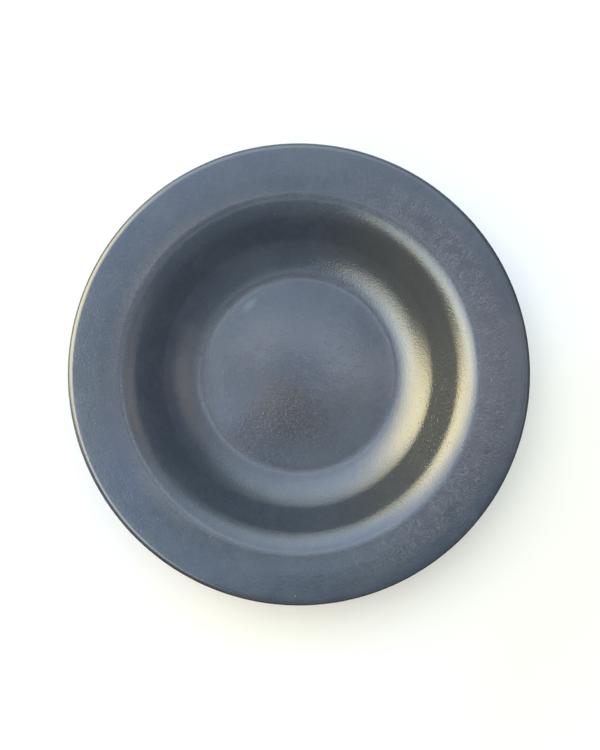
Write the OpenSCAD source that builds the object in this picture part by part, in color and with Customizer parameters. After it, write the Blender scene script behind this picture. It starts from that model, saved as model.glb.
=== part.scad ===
// Wide-rimmed pasta bowl in glazed stoneware: one fired clay body under three coats of glaze.
// The foot stands on z = 0 with its centre at the origin. Lengths are in millimetres.

/* [Overall] */
// Diameter of the glazed bowl over its lip
bowl_d = 250; // [236:1:300]
// Height of the glazed bowl, from the foot to the top of the lip
bowl_h = 45; // [40:0.5:56]

/* [Well] */
// Diameter of the flat floor, out to its corner with the wall before that is rounded
floor_d = 141; // [124:1:148]
// Diameter of the well's mouth, at the corner of wall and rim before that is rounded
mouth_d = 183; // [176:1:200]
// Radius of the hollow curve from the floor into the wall
hollow_r = 28.5; // [12:0.5:32]
// Radius of the shoulder that rolls over from the wall to the rim
shoulder_r = 17.5; // [10:0.5:22]

/* [Rim] */
// Height that the broad rim climbs from the well's mouth to the lip
rim_rise = 4; // [0:0.5:10]

/* [Clay] */
// Thickness of the clay under the floor
floor_t = 5.6; // [4.5:0.1:8]
// Thickness of the clay in the wall
wall_t = 4.7; // [3.5:0.1:6]
// Thickness of the clay in the rim
rim_t = 4.4; // [3.5:0.1:6]

/* [Foot] */
// How far the foot's outer side stands in from the floor's corner
foot_inset = 5.5; // [4:0.5:14]
// Width of the foot ring where it stands
foot_w = 5; // [4:0.5:8]
// Height of the foot ring on its outer side
foot_h = 5; // [4:0.5:8]
// Depth of the recess inside the foot ring
recess_h = 4; // [3.5:0.5:6]
// Lean of the foot's two sides from upright, in degrees
foot_draft = 8; // [2:1:15]
// Rounding of the foot's two edges
foot_edge_r = 1.2; // [0.6:0.1:1.6]
// Hollow rounding at the foot's root, outside and in the recess
foot_root_r = 1.6; // [0.8:0.1:2]

/* [Haunch] */
// Slope of the haunch between the foot and the wall, in degrees
haunch_a = 14; // [6:1:20]
// Radius of the haunch where it turns up into the wall
haunch_r = 24; // [8:0.5:30]

/* [Glaze] */
// Thickness of each coat of glaze
glaze_t = 0.4; // [0.3:0.05:0.8]
// Height of the foot that is wiped bare of glaze
bare_h = 1.4; // [1:0.1:1.8]

/* [Hidden] */

// Smoothness: facets to a turn, and degrees to a step of the outline's arcs
turn_fn = 180;
arc_step = 5;

// Shares of the rim's edge that the lip's two roundings take, over and under
lip_over_share = 0.8;
lip_under_share = 0.16;

// Share of the wall's length that the hollow curve and the shoulder together may round away
rounded_share = 0.96;

// Slopes of rim and wall, and the lip's two radii
lip_r = bowl_d / 2 - glaze_t;
rim_a = atan2(rim_rise, lip_r - mouth_d / 2);
edge_h = rim_t / cos(rim_a);
lip_over_r = lip_over_share * edge_h / tan((90 + rim_a) / 2);
lip_under_r = lip_under_share * edge_h / tan((90 - rim_a) / 2);

// Heights of the clay's corners; the lip's crown lies below the corner that it rounds
lip_z = bowl_h - glaze_t + lip_over_r * (tan(rim_a) + 1 / cos(rim_a) - 1);
parting_z = lip_z - (1 + lip_over_share - lip_under_share) / 2 * edge_h;
mouth_z = lip_z - rim_rise;
floor_z = recess_h + floor_t;
wall_a = atan2(mouth_z - floor_z, (mouth_d - floor_d) / 2);

// The hollow curve and the shoulder share the wall's length
wall_len = norm([(mouth_d - floor_d) / 2, mouth_z - floor_z]);
hollow_len = hollow_r * tan(wall_a / 2);
shoulder_len = shoulder_r * tan((wall_a - rim_a) / 2);
well_fit_share = min(1, rounded_share * wall_len / (hollow_len + shoulder_len));
hollow_fit_r = hollow_r * well_fit_share;
shoulder_fit_r = shoulder_r * well_fit_share;

// Corners of the back, where its straight lines cross
mouth = [mouth_d / 2, mouth_z];
foot_r = floor_d / 2 - foot_inset;
foot_top = [foot_r + foot_h * tan(foot_draft), foot_h];
under_mouth = crossing(below(mouth, rim_a, rim_t), rim_a, below(mouth, wall_a, wall_t), wall_a);
haunch = crossing(under_mouth, wall_a, foot_top, haunch_a);

// The haunch's rounding ends before the root of the foot begins
root_len = foot_root_r * tan((90 - foot_draft - haunch_a) / 2);
haunch_len = norm(haunch - foot_top) - root_len;
haunch_fit_r = min(haunch_r, haunch_len / tan((wall_a - haunch_a) / 2));

// The clay's outline in four runs of corners, each [radius from the axis, height, rounding],
// clockwise from the middle of the floor to the middle of the recess
face_line = [
    [0, floor_z, 0],
    [floor_d / 2, floor_z, hollow_fit_r],
    [mouth[0], mouth[1], shoulder_fit_r],
    [lip_r, lip_z, lip_over_r],
    [lip_r, parting_z, 0]
];
back_line = [
    [lip_r, parting_z, 0],
    [lip_r, lip_z - edge_h, lip_under_r],
    [under_mouth[0], under_mouth[1], shoulder_fit_r - (rim_t + wall_t) / 2],
    [haunch[0], haunch[1], haunch_fit_r],
    [foot_top[0], foot_top[1], foot_root_r],
    [foot_r + bare_h * tan(foot_draft), bare_h, 0]
];
foot_line = [
    [foot_r, 0, foot_edge_r],
    [foot_r - foot_w, 0, foot_edge_r]
];
recess_line = [
    [foot_r - foot_w - bare_h * tan(foot_draft), bare_h, 0],
    [foot_r - foot_w - recess_h * tan(foot_draft), recess_h, foot_root_r],
    [0, recess_h, 0]
];
clay_line = concat(face_line, rest(back_line), foot_line, recess_line);

// A list without its first item
function rest(list) = [for (i = [1:len(list) - 1]) list[i]];

// A list from its last item to its first
function reversed(list) = [for (i = [len(list) - 1:-1:0]) list[i]];

// The point square below a line of slope a at point p, a thickness t away
function below(p, a, t) = [p[0] + t * sin(a), p[1] - t * cos(a)];

// Where the line through p at slope a crosses the line through q at slope b
function crossing(p, a, q, b) =
    let (along = ((q[0] - p[0]) * sin(b) - (q[1] - p[1]) * cos(b)) / sin(b - a))
    [p[0] + along * cos(a), p[1] + along * sin(a)];

// Direction from corner p to corner q, in degrees
function heading(p, q) = atan2(q[1] - p[1], q[0] - p[0]);

// Turn of the outline at corner i, from -180 to 180 degrees and zero at both ends
function bend(line, i) =
    i == 0 || i == len(line) - 1 ? 0 :
    let (a = heading(line[i], line[i + 1]) - heading(line[i - 1], line[i]))
    a - 360 * round(a / 360);

// Direction in which the outline arrives at corner i
function arrival(line, i) = i == 0 ? heading(line[0], line[1]) : heading(line[i - 1], line[i]);

// The points of corner i: itself, or the arc that rounds it
function corner(line, i) =
    let (p = [line[i][0], line[i][1]], r = line[i][2], turned = bend(line, i))
    r == 0 || turned == 0 ? [p] :
    let (
        a = arrival(line, i),
        side = sign(turned),
        start = p - r * tan(abs(turned) / 2) * [cos(a), sin(a)],
        centre = start + side * r * [-sin(a), cos(a)],
        steps = ceil(abs(turned) / arc_step)
    )
    [for (k = [0:steps]) centre + side * r * [sin(a + turned * k / steps), -cos(a + turned * k / steps)]];

// The points of a whole run of corners
function rounded(line) = [for (i = [0:len(line) - 1]) each corner(line, i)];

// The same run a coat's thickness t further out, with every rounding still square to it
function coated(line, t) = [
    for (i = [0:len(line) - 1])
    let (turned = bend(line, i), a = arrival(line, i) + turned / 2, out = t / cos(turned / 2))
    [line[i][0] - out * sin(a), line[i][1] + out * cos(a), max(0, line[i][2] - sign(turned) * t)]
];

// A coat of glaze over one run of the clay
module coat(line) {
    rotate_extrude($fn = turn_fn)
        polygon(concat(rounded(coated(line, glaze_t)), reversed(rounded(line))));
}

// The fired clay: floor, wall, shoulder, broad rim, lip and foot ring in one piece
module stoneware_body() {
    color("#8b7b6a")
        rotate_extrude($fn = turn_fn)
            polygon(rounded(clay_line));
}

// Glaze over the eating side, from the middle of the floor to the edge of the lip
module face_glaze() {
    color("#5f6c7c")
        coat(face_line);
}

// Glaze over the back, from the edge of the lip down to the bare foot
module back_glaze() {
    color("#525d6b")
        coat(back_line);
}

// Glaze in the recess inside the foot ring
module foot_well_glaze() {
    color("#475260")
        coat(recess_line);
}

stoneware_body();
face_glaze();
back_glaze();
foot_well_glaze();
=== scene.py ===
import math
import bpy
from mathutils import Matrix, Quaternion, Vector


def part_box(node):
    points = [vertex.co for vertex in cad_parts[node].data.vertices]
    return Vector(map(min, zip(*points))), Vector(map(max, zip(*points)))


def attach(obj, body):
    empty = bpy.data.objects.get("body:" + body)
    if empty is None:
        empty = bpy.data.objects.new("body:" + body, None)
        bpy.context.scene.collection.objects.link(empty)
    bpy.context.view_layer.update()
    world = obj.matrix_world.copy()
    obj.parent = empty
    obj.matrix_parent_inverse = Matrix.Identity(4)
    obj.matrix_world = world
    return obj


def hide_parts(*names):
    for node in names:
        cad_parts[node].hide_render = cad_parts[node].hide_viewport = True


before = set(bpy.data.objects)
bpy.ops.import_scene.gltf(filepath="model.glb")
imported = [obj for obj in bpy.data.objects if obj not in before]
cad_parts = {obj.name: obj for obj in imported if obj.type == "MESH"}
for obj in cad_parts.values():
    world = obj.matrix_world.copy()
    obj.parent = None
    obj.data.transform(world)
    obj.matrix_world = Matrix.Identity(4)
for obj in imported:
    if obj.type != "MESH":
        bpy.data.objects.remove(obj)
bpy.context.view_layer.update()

# Stoneware body
# The fired clay: floor, sloping wall, broad rim and foot ring pressed in one piece from an iron-rich,
# warm brown-grey stoneware. It shows only where the foot is wiped bare of glaze and ground to stand flat.
MM = 0.001
TURNS = 240
ARC_STEP = math.radians(4)
clay_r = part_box("stoneware_body")[1][0]
crown_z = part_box("stoneware_body")[1][2]
floor_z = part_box("face_glaze")[0][2]
bare_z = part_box("back_glaze")[0][2]
recess_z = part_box("foot_well_glaze")[1][2]
floor_corner_r = 70.5 * MM
mouth_r = 91.5 * MM
hollow_r = 28.5 * MM
shoulder_r = 17.5 * MM
rim_rise = 4 * MM
wall_t = 4.7 * MM
rim_t = 4.4 * MM
foot_inset = 5.5 * MM
foot_w = 5 * MM
foot_h = 5 * MM
foot_edge_r = 1.2 * MM
foot_root_r = 1.6 * MM
foot_draft = math.radians(8)
haunch_a = math.radians(14)
haunch_full_r = 24 * MM
lip_over_share = 0.8
lip_under_share = 0.16

rim_a = math.atan2(rim_rise, clay_r - mouth_r)
edge_h = rim_t / math.cos(rim_a)
lip_over_r = lip_over_share * edge_h / math.tan(math.pi / 4 + rim_a / 2)
lip_under_r = lip_under_share * edge_h / math.tan(math.pi / 4 - rim_a / 2)
lip_z = crown_z + lip_over_r * (math.tan(rim_a) + 1 / math.cos(rim_a) - 1)
parting_z = lip_z - (1 + lip_over_share - lip_under_share) / 2 * edge_h
mouth_z = lip_z - rim_rise
wall_a = math.atan2(mouth_z - floor_z, mouth_r - floor_corner_r)
foot_r = floor_corner_r - foot_inset
foot_lean = math.tan(foot_draft)


def below(radius, z, slope, thickness):
    """The point square below a sloping line, a thickness away."""
    return radius + thickness * math.sin(slope), z - thickness * math.cos(slope)


def crossing(p, a, q, b):
    """Where the line through p at slope a crosses the line through q at slope b."""
    along = ((q[0] - p[0]) * math.sin(b) - (q[1] - p[1]) * math.cos(b)) / math.sin(b - a)
    return p[0] + along * math.cos(a), p[1] + along * math.sin(a)


foot_top = (foot_r + foot_h * foot_lean, foot_h)
rim_back = below(mouth_r, mouth_z, rim_a, rim_t)
wall_back = below(mouth_r, mouth_z, wall_a, wall_t)
under_mouth = crossing(rim_back, rim_a, wall_back, wall_a)
haunch = crossing(wall_back, wall_a, foot_top, haunch_a)
foot_root_bend = math.pi / 2 - foot_draft - haunch_a
haunch_len = math.dist(haunch, foot_top) - foot_root_r * math.tan(foot_root_bend / 2)
haunch_r = min(haunch_full_r, haunch_len / math.tan((wall_a - haunch_a) / 2))

# Each run is a list of corners, clockwise: radius from the axis, height, and radius of its rounding.
face_line = [
    (0, floor_z, 0),
    (floor_corner_r, floor_z, hollow_r),
    (mouth_r, mouth_z, shoulder_r),
    (clay_r, lip_z, lip_over_r),
    (clay_r, parting_z, 0),
]
back_line = [
    (clay_r, parting_z, 0),
    (clay_r, lip_z - edge_h, lip_under_r),
    (*under_mouth, shoulder_r - (rim_t + wall_t) / 2),
    (*haunch, haunch_r),
    (*foot_top, foot_root_r),
    (foot_r + bare_z * foot_lean, bare_z, 0),
]
foot_line = [
    (foot_r, 0, foot_edge_r),
    (foot_r - foot_w, 0, foot_edge_r),
]
recess_line = [
    (foot_r - foot_w - bare_z * foot_lean, bare_z, 0),
    (foot_r - foot_w - recess_z * foot_lean, recess_z, foot_root_r),
    (0, recess_z, 0),
]


def heading(p, q):
    """Direction from one corner to the next."""
    return math.atan2(q[1] - p[1], q[0] - p[0])


def bend(line, i):
    """How far a run turns at corner i, nothing at its two ends."""
    if i in (0, len(line) - 1):
        return 0
    return math.remainder(heading(line[i], line[i + 1]) - heading(line[i - 1], line[i]), math.tau)


def cut_back(line, i):
    """How much of the straights beside corner i its rounding takes up."""
    return line[i][2] * math.tan(abs(bend(line, i)) / 2)


def with_rings(line, spacing):
    """The same run with more rings along its straights, clear of the roundings."""
    rings = [line[0]]
    for i in range(1, len(line)):
        whole = math.dist(line[i - 1][:2], line[i][:2])
        first = cut_back(line, i - 1) / whole
        last = 1 - cut_back(line, i) / whole
        count = max(1, round((last - first) * whole / spacing))
        for k in range(1, count):
            t = first + (last - first) * k / count
            rings.append(tuple(a + (b - a) * t for a, b in zip(line[i - 1][:2], line[i][:2])) + (0,))
        rings.append(line[i])
    return rings


def select_ring(obj, ring):
    """In edit mode, selects the ring of vertices that lies at one radius and height."""
    near = 0.01 * MM
    bpy.ops.mesh.select_mode(type="VERT")
    bpy.ops.mesh.select_all(action="DESELECT")
    bpy.ops.object.mode_set(mode="OBJECT")
    for vertex in obj.data.vertices:
        place = (math.hypot(vertex.co.x, vertex.co.y), vertex.co.z)
        vertex.select = math.dist(place, ring[:2]) < near
    bpy.ops.object.mode_set(mode="EDIT")


def turned_piece(name, line, spacing):
    """Turns a run of corners as on the wheel: rings drawn out of a circle, then rounded by bevels."""
    # Rings can't grow out of a point, so the middle is a pin's width that is closed by a flat face.
    pin = 1 * MM
    line = [(pin, z, 0) if radius == 0 else (radius, z, rounding) for radius, z, rounding in line]
    rings = with_rings(line, spacing)
    bpy.ops.object.select_all(action="DESELECT")
    bpy.ops.mesh.primitive_circle_add(vertices=TURNS, radius=rings[0][0], location=(0, 0, rings[0][1]))
    obj = bpy.context.object
    obj.name = obj.data.name = name
    bpy.ops.object.transform_apply(location=True)
    bpy.ops.object.mode_set(mode="EDIT")
    bpy.ops.mesh.select_all(action="SELECT")
    for ring, following in zip(rings, rings[1:]):
        grow = following[0] / ring[0]
        bpy.ops.mesh.extrude_region_move()
        bpy.ops.transform.translate(value=(0, 0, following[1] - ring[1]))
        bpy.ops.transform.resize(value=(grow, grow, 1), center_override=(0, 0, 0))
    for end in (rings[0], rings[-1]):
        if end[0] == pin:
            select_ring(obj, end)
            bpy.ops.mesh.edge_face_add()
    bpy.ops.mesh.select_all(action="SELECT")
    bpy.ops.mesh.normals_make_consistent(inside=False)
    bpy.ops.object.mode_set(mode="OBJECT")

    # An open skin can come out inside out. The slope of its first ring tells which way is out.
    side = obj.data.polygons[0]
    slope = heading(rings[0], rings[1])
    outward = Vector(side.center).xy.normalized() * -math.sin(slope)
    bpy.ops.object.mode_set(mode="EDIT")
    if side.normal.dot((*outward, math.cos(slope))) < 0:
        bpy.ops.mesh.flip_normals()

    for i, corner in enumerate(line):
        if corner[2] > 0:
            select_ring(obj, corner)
            bpy.ops.mesh.bevel(
                offset=cut_back(line, i),
                segments=math.ceil(abs(bend(line, i)) / ARC_STEP),
                affect="EDGES",
            )
    bpy.ops.object.mode_set(mode="OBJECT")
    return obj


def finished(obj, slot, *nodes):
    """Smooths a piece, gives it its place in the frame, and lets it stand for its solid."""
    crease_a = math.radians(40)
    bpy.ops.object.select_all(action="DESELECT")
    obj.select_set(True)
    bpy.context.view_layer.objects.active = obj
    bpy.ops.object.shade_smooth_by_angle(angle=crease_a)
    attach(obj, "root")
    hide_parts(*nodes)


class Wire:
    """A socket of a node tree that plain arithmetic works on."""

    def __init__(self, nodes, socket):
        self.nodes, self.socket = nodes, socket

    def maths(self, operation, *values):
        return self.nodes.add("Math", {"operation": operation}, dict(enumerate(values)))["Value"]

    def __add__(self, other):
        return self.maths("ADD", self, other)

    def __sub__(self, other):
        return self.maths("SUBTRACT", self, other)

    def __rsub__(self, other):
        return self.maths("SUBTRACT", other, self)

    def __mul__(self, other):
        return self.maths("MULTIPLY", self, other)

    def __truediv__(self, other):
        return self.maths("DIVIDE", self, other)

    def __pow__(self, other):
        return self.maths("POWER", self, other)

    __radd__ = __add__


class Nodes:
    """The node tree of a material or a world, with one method that adds any node to it."""

    def __init__(self, owner):
        owner.use_nodes = True
        self.tree = owner.node_tree
        self.tree.nodes.clear()

    def add(self, kind, settings=None, sockets=None):
        """Adds a node, makes its settings, then sets or links its sockets. Gives its outputs by name."""
        made = self.tree.nodes.new("ShaderNode" + kind)
        for key, value in (settings or {}).items():
            setattr(made, key, value)
        for key, value in (sockets or {}).items():
            if isinstance(value, Wire):
                self.tree.links.new(value.socket, made.inputs[key])
            else:
                made.inputs[key].default_value = value
        return {out.name: Wire(self, out) for out in made.outputs if out.enabled}

    def parts(self, vector):
        """The three numbers of a vector."""
        split = self.add("SeparateXYZ", {}, {"Vector": vector})
        return split["X"], split["Y"], split["Z"]

    def size(self, value):
        """A number without its sign."""
        return self.add("Math", {"operation": "ABSOLUTE"}, {0: value})["Value"]

    def rise(self, value, low, high):
        """0 up to low, 1 from high, and a smooth rise between them."""
        sockets = {"Value": value, "From Min": low, "From Max": high}
        return self.add("MapRange", {"interpolation_type": "SMOOTHSTEP"}, sockets)["Result"]

    def band(self, value, low, full, fading, high):
        """1 from full to fading, 0 outside low and high, and smooth between them."""
        return self.rise(value, low, full) * (1 - self.rise(value, fading, high))

    def noise(self, place, size, detail=2, roughness=0.5):
        """Cloudy noise from 0 to 1 whose lumps are about the given size across."""
        sockets = {"Vector": place, "Scale": 1 / size, "Detail": detail, "Roughness": roughness}
        return self.add("TexNoise", {}, sockets)["Fac"]

    def mix(self, share, first, second):
        """One colour or the other, by a share from 0 to 1."""
        return self.add("Mix", {"data_type": "RGBA"}, {0: share, 6: first, 7: second})["Result"]

    def surface(self, colour, roughness, height, ior, dull=0, dull_colour=(0, 0, 0, 1)):
        """Ends the tree in a surface with its relief in metres, mixed with a dull one by a share."""
        relief = self.add("Bump", {}, {"Height": height, "Distance": 1})["Normal"]
        sockets = {"Base Color": colour, "Roughness": roughness, "Normal": relief, "IOR": ior}
        bright = self.add("BsdfPrincipled", {}, sockets)["BSDF"]
        flat = self.add("BsdfDiffuse", {}, {"Color": dull_colour, "Normal": relief})["BSDF"]
        both = self.add("MixShader", {}, {0: dull, 1: bright, 2: flat})["Shader"]
        self.add("OutputMaterial", {}, {"Surface": both})


def clay_finish(name):
    """Bare stoneware: warm brown-grey and sandy, with darker grains of iron."""
    material = bpy.data.materials.new(name)
    c = Nodes(material)
    place = c.add("TexCoord")["Object"]
    sand = c.noise(place, size=0.5 * MM, detail=3, roughness=0.7)
    patches = c.noise(place, size=9 * MM, detail=3)
    iron = c.rise(c.noise(place, size=1.1 * MM), 0.66, 0.72)
    warm_brown = (0.22, 0.165, 0.12, 1)
    pale_brown = (0.30, 0.235, 0.175, 1)
    iron_black = (0.06, 0.035, 0.022, 1)
    colour = c.mix(c.rise(patches, 0.35, 0.65), warm_brown, pale_brown)
    colour = c.mix(iron * 0.8, colour, iron_black)
    c.surface(colour, roughness=0.8 + sand * 0.1, height=sand * (0.05 * MM), ior=1.5)
    return material


clay_line = face_line[:-1] + back_line[1:] + foot_line + recess_line
body = turned_piece("clay_body", clay_line, spacing=6 * MM)
body.data.materials.append(clay_finish("bare_stoneware"))
finished(body, "fired_clay", "stoneware_body")

# Glaze over the face
# A satin slate-blue reactive glaze, fused over the eating side from the middle of the floor to the
# edge of the lip. It runs in fine hairs down the rim, and breaks thin and brown where it turns over.
# Its colour also holds painted light: warm light, glints in the hairs, shade on the lip, a dark
# reflection.
bowl_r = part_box("face_glaze")[1][0]
glaze_t = bowl_r - clay_r


def coated(line, thickness):
    """The same run a coat further out, with its roundings still square to it."""
    moved = []
    for i, (radius, z, rounding) in enumerate(line):
        turned = bend(line, i)
        arrives = heading(line[max(i, 1) - 1], line[max(i, 1)])
        middle = arrives + turned / 2
        out = thickness / math.cos(turned / 2)
        if rounding:
            rounding -= math.copysign(thickness, turned)
        moved.append((radius - out * math.sin(middle), z + out * math.cos(middle), rounding))
    return moved


def glaze_coat(name, skin, spacing):
    """A coat of glaze: its skin turned first, left a little uneven, then given its thickness inwards."""
    obj = turned_piece(name, skin, spacing)
    lumps = bpy.data.textures.new(name + "_lumps", "CLOUDS")
    lumps.noise_scale = 14 * MM
    uneven = obj.modifiers.new("uneven", "DISPLACE")
    uneven.texture = lumps
    uneven.mid_level = 1
    uneven.strength = 0.12 * MM
    bpy.ops.object.modifier_apply(modifier=uneven.name)
    coat = obj.modifiers.new("coat", "SOLIDIFY")
    coat.thickness = glaze_t
    coat.offset = -1
    coat.use_even_offset = True
    bpy.ops.object.modifier_apply(modifier=coat.name)
    return obj


def glaze_finish(name):
    """Satin slate-blue glaze: mottled, haired down the rim, grainy, dark where it breaks on the lip, with
    painted warm light on the right, painted glints in the hairs, painted shade on the lip and a painted
    dark reflection on the floor.
    """
    material = bpy.data.materials.new(name)
    g = Nodes(material)
    place = g.add("TexCoord")["Object"]
    x, y, z = g.parts(place)
    radius = (x * x + y * y) ** 0.5
    cos = x / radius
    sin = y / radius

    # Clouds of four sizes vary its colour and its relief.
    clouds = g.noise(place, size=26 * MM, detail=3)
    flow = g.noise(place, size=9 * MM)
    mottle = g.noise(place, size=3.5 * MM, detail=3, roughness=0.6)
    grain = g.noise(place, size=1.2 * MM, roughness=0.7)

    # Tiny raised pimples, 1.4 mm apart, catch the light beside its reflections.
    dots = g.add("TexVoronoi", {}, {"Vector": place, "Scale": 1 / (1.4 * MM)})
    picked = g.add("SeparateColor", {}, {"Color": dots["Color"]})["Red"]
    pimples = (1 - g.rise(dots["Distance"], 0.05, 0.42)) * g.rise(picked, 0.1, 0.9)

    # Finer ones, 0.8 mm apart, roughen both ends of the wall.
    grit_dots = g.add("TexVoronoi", {}, {"Vector": place, "Scale": 1 / (0.8 * MM)})
    wall_foot = g.band(radius, 58 * MM, 65 * MM, 72 * MM, 78 * MM)
    wall_head = g.band(radius, 83 * MM, 87 * MM, 90 * MM, 95 * MM)
    grit = (1 - g.rise(grit_dots["Distance"], 0.1, 0.6)) * (wall_foot + wall_head)

    # A few pale specks lie in the glaze, in about a third of its cells of 11 mm.
    cells = g.add("TexVoronoi", {}, {"Vector": place, "Scale": 1 / (11 * MM)})
    chosen = g.add("SeparateColor", {}, {"Color": cells["Color"]})["Red"]
    specks = (1 - g.rise(cells["Distance"], 0.018, 0.030)) * g.rise(chosen, 0.70, 0.72)

    # Hairs run down the rim: the thin contours of noise that is drawn out along the radius.
    hair_gap = 2.3 * MM
    hair_len = 8 * MM
    wander = g.noise(place, size=6 * MM) * 3.6
    hair_turns = bowl_r / hair_gap
    hair_x = cos * hair_turns + wander
    hair_y = sin * hair_turns + wander
    hair_place = g.add("CombineXYZ", {}, {"X": hair_x, "Y": hair_y, "Z": radius / hair_len})["Vector"]
    off_line = g.size(g.noise(hair_place, size=1, detail=3, roughness=0.6) - 0.5)
    ragged = radius + wander * (1 * MM)
    on_rim = g.rise(radius, 96 * MM, 101 * MM) * (1 - g.rise(ragged, 113 * MM, 120 * MM))
    # Painted glints and shade: hairs and streaks are coloured only over the right of the rim, where the
    # light from the left catches their relief.
    key_lit_right = g.rise(x, -10 * MM, 90 * MM)
    hairs = (1 - g.rise(off_line, 0.0, 0.06)) * on_rim * g.rise(flow, 0.30, 0.52) * key_lit_right

    # Finer streaks, darker than the glaze, lie among the hairs.
    streak_len = 4 * MM
    streak_z = radius / streak_len
    streak_place = g.add("CombineXYZ", {}, {"X": hair_x * 2, "Y": hair_y * 2, "Z": streak_z})["Vector"]
    streaks = g.rise(g.noise(streak_place, size=1, roughness=0.6), 0.42, 0.66) * on_rim * key_lit_right

    # Faint rings stay from the turning.
    ring_gap = 1.3 * MM
    ring_place = g.add("CombineXYZ", {}, {"X": cos * 3, "Y": sin * 3, "Z": radius / ring_gap})["Vector"]
    rings = g.noise(ring_place, size=1)

    # One small smear lies in the glaze at the back left of the floor.
    smear_x = -29.2 * MM
    smear_y = 41.4 * MM
    smear_len = 5 * MM
    smear_w = 1.8 * MM
    lean_cos = 0.75
    lean_sin = 0.66
    from_x = x - smear_x
    from_y = y - smear_y
    along = (from_x * lean_cos + from_y * lean_sin) / smear_len
    across = (from_y * lean_cos - from_x * lean_sin) / smear_w
    spread = (along ** 2 + across ** 2) ** 0.5
    smear = 1 - g.rise(spread + (mottle - 0.5) * 1.6, 0.3, 1.5)

    # A grainy, darker patch fans out over the floor from its middle towards the front: its dark is a
    # painted reflection of something dark in front of the bowl, its grain the glaze's own.
    fan_x = -9 * MM
    fan_start_w = 6 * MM
    fan_w = fan_start_w - y * 0.75
    from_line = g.size(x - fan_x + (mottle - 0.5) * (12 * MM))
    front_only = g.band(y, -62 * MM, -30 * MM, -12 * MM, 4 * MM)
    dark_reflection_and_grain = (1 - g.rise(from_line / fan_w, 0.2, 1.5)) * front_only

    # The glaze is coarser on the wall. It pools where the floor turns up, runs off the shoulder, and
    # settles again on the rim.
    wall = g.band(radius, 62 * MM, 70 * MM, 89 * MM, 96 * MM)
    pooled = g.rise(radius, 49 * MM, 64 * MM)
    run_off = g.rise(radius, 89 * MM, 101 * MM)
    settled = g.rise(radius, 93 * MM, 109 * MM)

    # Its colours: slate, with painted warm light down the right of wall and rim, then each mark in its
    # own.
    blend = g.rise(clouds * 0.55 + mottle * 0.25 + flow * 0.2, 0.40, 0.62)
    deep_slate = (0.046, 0.060, 0.081, 1)
    pale_slate = (0.060, 0.074, 0.092, 1)
    warm_lit_plum = (0.064, 0.062, 0.072, 1)
    warm_lit_olive = (0.074, 0.074, 0.058, 1)
    ink = (0.036, 0.041, 0.052, 1)
    hair_glint_blue = (0.14, 0.155, 0.18, 1)
    reflected_dark = (0.032, 0.031, 0.031, 1)
    ash = (0.088, 0.086, 0.094, 1)
    grain_grey = (0.085, 0.090, 0.098, 1)
    speck_white = (0.34, 0.36, 0.38, 1)
    smear_blue = (0.16, 0.20, 0.22, 1)
    colour = g.mix(blend, deep_slate, pale_slate)
    # Painted warm light: rim and wall turn warmer towards the right, where the warm window on the left
    # falls on them.
    colour = g.mix(on_rim * g.rise(x, 0.0, 100 * MM) * 0.6, colour, warm_lit_plum)
    colour = g.mix(wall * g.rise(x, -10 * MM, 70 * MM) * 0.7, colour, warm_lit_olive)
    colour = g.mix(streaks * 0.45, colour, ink)
    # Painted glints: the pale hair colour, only on the right of the rim.
    colour = g.mix(hairs * 0.38, colour, hair_glint_blue)
    # Painted reflection: the floor darkens in a fan towards the front.
    colour = g.mix(dark_reflection_and_grain * 0.65, colour, reflected_dark)
    colour = g.mix(dark_reflection_and_grain * g.rise(grain, 0.50, 0.64) * 0.5, colour, ash)
    colour = g.mix(g.rise(grain, 0.45, 0.75) * 0.4, colour, grain_grey)
    colour = g.mix(specks * 0.8, colour, speck_white)
    colour = g.mix(smear * 0.35, colour, smear_blue)

    # On the outermost edge of the lip it breaks to a matt brown-black, deepened by painted shade towards
    # the right and front and least at the back left.
    edge = g.rise(radius + (mottle - 0.5) * (0.3 * MM), bowl_r - 1.9 * MM, bowl_r - 1.1 * MM)
    # Painted shade: the dark edge is made stronger towards the right and front, where the lip turns away
    # from the light.
    side = 0.3 + g.rise(x - y, -100 * MM, 50 * MM) * 0.7
    broken_and_shaded = edge * side * g.rise(z, 40 * MM, 41.5 * MM) * (0.75 + mottle * 0.25)
    break_and_shade_brown = (0.016, 0.013, 0.011, 1)

    # Grain and marks stand some hundredths of a millimetre in the relief, and the pooling some tenths.
    rough = 0.15 + (mottle - 0.5) * 0.06 + hairs * 0.05
    height = (
        grain * (1 + dark_reflection_and_grain * 0.6 + wall * 0.4) * (0.045 * MM)
        + pimples * (0.03 + dark_reflection_and_grain * 0.02 + wall * 0.035) * MM
        + grit * (0.030 * MM)
        + mottle * (0.04 * MM)
        + hairs * (0.03 * MM)
        - streaks * (0.02 * MM)
        + rings * (0.018 * MM)
        + specks * (0.03 * MM)
        + smear * (0.10 * MM)
        + pooled * (0.25 * MM)
        - run_off * (0.30 * MM)
        + settled * (0.36 * MM)
    )
    g.surface(colour, rough, height, ior=1.75, dull=broken_and_shaded, dull_colour=break_and_shade_brown)
    return material


slate_glaze = glaze_finish("slate_glaze")
face = glaze_coat("face_coat", coated(face_line, glaze_t), spacing=2 * MM)
face.data.materials.append(slate_glaze)
finished(face, "face_glaze", "face_glaze")

# Glaze over the back
# The same glaze over the underside of the rim, the wall and the haunch, from the edge of the lip down
# the foot. It stops short of the ground in a soft roll, where it was wiped off before the firing.


def gathered(edge_r, way):
    """The corners of the roll in which a coat ends above the bare foot, from the top down."""
    # How far each stands out and up, and its rounding, in millimetres.
    roll = ((0.4, 1.9, 0.8), (0.85, 1.1, 0.6), (0.85, 0.3, 0.35), (0, 0, 0))
    corners = []
    for out, up, rounding in roll:
        corners.append((edge_r + way * (out + up * foot_lean) * MM, bare_z + up * MM, rounding * MM))
    return corners


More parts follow.
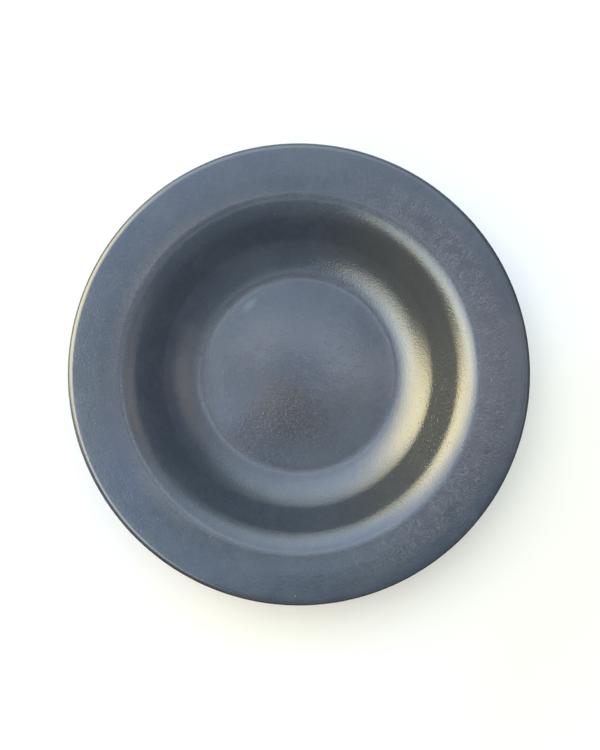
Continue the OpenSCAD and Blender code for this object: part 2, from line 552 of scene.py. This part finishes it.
back_skin = coated(back_line, glaze_t)[:-1] + gathered(back_line[-1][0], 1)
back = glaze_coat("back_coat", back_skin, spacing=4 * MM)
back.data.materials.append(slate_glaze)
finished(back, "back_glaze", "back_glaze")

# Glaze in the recess of the foot
# The same glaze inside the foot ring, fused to the clay from the middle to a roll above the foot. The
# bare foot cuts it off from the coat on the back.
recess_skin = gathered(recess_line[0][0], -1)[::-1] + coated(recess_line, glaze_t)[1:]
recess = glaze_coat("recess_coat", recess_skin, spacing=3 * MM)
recess.data.materials.append(slate_glaze)
finished(recess, "foot_well_glaze", "foot_well_glaze")

# Table, lamps and camera
# The bowl stands on a plain white table. Soft lamps light it: a warm window on the left, cool sky
# above, weaker ones at the front and the right, and one below the table for the foot's recess.
# Soft-edged cards light nothing and only show in the gloss, as window, walls and ceiling do.
bpy.ops.object.select_all(action="DESELECT")
table_size = 6
bpy.ops.mesh.primitive_plane_add(size=table_size, location=(0, 0, 0))
table = bpy.context.object
table.name = "table"
white = bpy.data.materials.new("white_table")
t = Nodes(white)
x, y = t.parts(t.add("TexCoord")["Object"])[:2]
distance = (x * x + y * y) ** 0.5

# Painted warm light: its white is creamy in front of the bowl and at its front right, and plain
# elsewhere.
front = t.rise(x * 0.6 - y, 0.0, 0.13)
white_left = t.rise(distance, 0.15, 0.21) * (1 - t.rise(x, 0.03, 0.14))
warm_light_pool = front * (1 - white_left) * (1 - t.rise(distance, 0.22, 0.45))
plain_white = (0.85, 0.85, 0.85, 1)
warm_lit_white = (0.93, 0.90, 0.79, 1)
top = t.mix(warm_light_pool, plain_white, warm_lit_white)
lit = t.add("BsdfDiffuse", {}, {"Color": top})["BSDF"]

# To the camera it is bright by itself away from the bowl, and near the bowl it keeps the bowl's shadow.
far = t.rise(distance, 0.18, 0.7)
seen = t.add("LightPath")["Is Camera Ray"]
near_share = 0.12
brightness = 1.12
own_light = seen * (near_share + far * (1 - near_share)) * (1 - warm_light_pool * 0.4)
black = (0, 0, 0, 1)
whitened = t.mix(own_light, black, top)
glow = t.add("Emission", {}, {"Color": whitened, "Strength": brightness})["Emission"]
shown = t.add("AddShader", {}, {0: lit, 1: glow})["Shader"]

# The table is clear from below, and cut out inside the foot ring.
from_below = t.add("NewGeometry")["Backfacing"]
hole_r = foot_r - 3.2 * MM
hole_edge = 0.2 * MM
cut_out = 1 - t.rise(distance, hole_r, hole_r + hole_edge)
clear = t.add("BsdfTransparent")["BSDF"]
sheet = t.add("MixShader", {}, {0: from_below + cut_out, 1: shown, 2: clear})["Shader"]
t.add("OutputMaterial", {}, {"Surface": sheet})
table.data.materials.append(white)

# Lamps and far cards stand this far from the bowl.
room_r = 1.2


def towards(azimuth, elevation):
    """The direction of a point on the room's dome, its two angles in degrees."""
    a, e = math.radians(azimuth), math.radians(elevation)
    return Vector((math.cos(e) * math.cos(a), math.cos(e) * math.sin(a), math.sin(e)))


def panel(name, place, facing, turn, size, colour, radiance):
    """A rectangle of light square to a direction and turned about it, which the camera doesn't see."""
    bpy.ops.object.light_add(type="AREA", location=place)
    made = bpy.context.object
    made.name = name
    level = Quaternion((0, 0, 1), math.radians(turn))
    made.rotation_euler = (facing.to_track_quat("Z", "Y") @ level).to_euler()
    made.data.shape = "RECTANGLE"
    made.data.size, made.data.size_y = size
    made.data.color = colour
    made.data.energy = radiance * math.pi * size[0] * size[1]
    made.visible_camera = False
    return made


def lamp(name, azimuth, elevation, size, colour, radiance):
    """A soft lamp that faces the bowl and lights it, but doesn't show in its gloss."""
    away = towards(azimuth, elevation)
    made = panel(name, away * room_r, away, 0, size, colour, radiance)
    made.visible_glossy = False


# Each has its two angles in degrees, its width and height, its colour and its radiance.
lamp("window", 150, 55, (0.9, 0.9), (1, 0.95, 0.86), 2.5)
lamp("glow", 162, 16, (1.5, 0.6), (1, 0.80, 0.50), 1.8)
lamp("overhead", 90, 66, (1.8, 1.1), (0.70, 0.85, 1), 2.2)
lamp("front", -80, 35, (1.6, 0.8), (1, 0.95, 0.92), 1.2)
lamp("side", 5, 30, (1.0, 0.7), (1, 0.80, 0.56), 0.45)
lamp("under", 200, -50, (1.0, 1.0), (1, 1, 1), 2.0)


def card(name, place, facing, turn, size, colour, radiance):
    """A card of one colour that only shows in the gloss. It fades out towards its four edges."""
    made = panel(name, place, facing, turn, size, colour, radiance)
    made.visible_diffuse = False
    c = Nodes(made.data)
    across, along = c.parts(c.add("NewGeometry")["Parametric"])[:2]
    to_full = 16
    fade = (across - across * across) * (along - along * along) * to_full
    shown = c.add("Emission", {}, {"Color": fade, "Strength": 1})["Emission"]
    c.add("OutputLight", {}, {"Surface": shown})


def far_card(name, azimuth, elevation, turn, size, colour, radiance):
    """A card that faces the bowl from as far away as the lamps."""
    away = towards(azimuth, elevation)
    card(name, away * room_r, away, turn, size, colour, radiance)


# Each has its two angles and its turn in degrees, its width and height, its colour and its radiance.
far_card("window_low", 158, 19, -3, (2.43, 1.65), (1.00, 0.89, 0.43), 2.55)
far_card("window_main", 165, 38, -10, (1.27, 1.66), (1.00, 0.85, 0.47), 7.2)
far_card("back_haze", 98, 22, -41, (2.60, 2.20), (0.93, 1.00, 0.79), 0.68)
far_card("window_left", 209, 56, 56, (0.87, 1.25), (0.96, 1.00, 0.87), 4.28)
far_card("sky", 100, 50, 47, (1.80, 2.20), (0.65, 0.77, 1.00), 2.09)
far_card("side_wall", 6, 47, 11, (1.06, 0.81), (1.00, 0.88, 0.65), 0.78)
far_card("sky_wide", 153, 46, -59, (1.96, 2.20), (0.28, 0.52, 1.00), 1.28)

# Level cards hang just above the camera, each a little over the last so that none hides another:
# name, place, turn in degrees, width and depth, colour and radiance.
ceiling_z = 0.45
ceiling_gap = 2 * MM
ceiling = (
    ("back", 0.009, 0.052, 0, (0.117, 0.064), (0.69, 0.76, 1.00), 1.24),
    ("front_left", -0.052, -0.038, -58, (0.055, 0.121), (1.00, 0.87, 0.44), 1.83),
    ("warm", 0.160, -0.005, 27, (0.413, 0.142), (1.00, 0.33, 0.00), 0.34),
    ("front_right", 0.112, -0.056, 46, (0.288, 0.082), (0.32, 0.82, 1.00), 0.55),
    ("blue", -0.087, -0.049, 23, (0.206, 0.053), (0.00, 0.17, 1.00), 0.88),
    ("front", -0.046, -0.136, 20, (0.343, 0.074), (0.60, 0.77, 1.00), 1.43),
    ("middle", 0.049, 0.021, 7, (0.057, 0.092), (0.88, 0.89, 1.00), 1.64),
    ("back_left", -0.053, 0.048, 60, (0.085, 0.039), (1.00, 0.95, 0.88), 2.50),
    ("right", 0.089, 0.008, -2, (0.143, 0.067), (0.73, 0.88, 1.00), 1.09),
    ("left", -0.099, -0.002, -30, (0.038, 0.205), (1.00, 0.82, 0.67), 1.00),
    ("sky_left", -0.135, -0.105, 50, (0.20, 0.10), (0.30, 0.56, 1.00), 0.70),
)
for i, (name, card_x, card_y, turn, size, colour, radiance) in enumerate(ceiling):
    hung_at = (card_x, card_y, ceiling_z + i * ceiling_gap)
    card("ceiling_" + name, hung_at, Vector((0, 0, 1)), turn, size, colour, radiance)

# The air gives a weak blue light, and the camera sees plain white behind the table.
world = bpy.data.worlds.new("studio")
bpy.context.scene.world = world
w = Nodes(world)
seen = w.add("LightPath")["Is Camera Ray"]
sky_blue = (0.80, 0.90, 1, 1)
pure_white = (1, 1, 1, 1)
air = w.add("Background", {}, {"Color": sky_blue, "Strength": 0.2})["Background"]
backdrop = w.add("Background", {}, {"Color": pure_white})["Background"]
either = w.add("MixShader", {}, {0: seen, 1: air, 2: backdrop})["Shader"]
w.add("OutputWorld", {}, {"Surface": either})

# The camera looks straight down from a third of a metre, where the bowl is 461 pixels wide.
frame_w, frame_h = 600, 750
bowl_px = 461.4
bowl_px_x, bowl_px_y = 298.94, 374.38
sensor_w = 36
lens = 28.85
px = 2 * bowl_r / bowl_px
camera_x = (frame_w / 2 - bowl_px_x) * px
camera_y = (bowl_px_y - frame_h / 2) * px
camera_z = parting_z + lens / sensor_w * frame_h * px
bpy.ops.object.camera_add(location=(camera_x, camera_y, camera_z), rotation=(0, 0, 0))
camera = bpy.context.object
camera.data.lens = lens
camera.data.sensor_width = sensor_w
camera.data.clip_start = 0.01
bpy.context.scene.camera = camera
bpy.context.scene.view_settings.view_transform = "Standard"
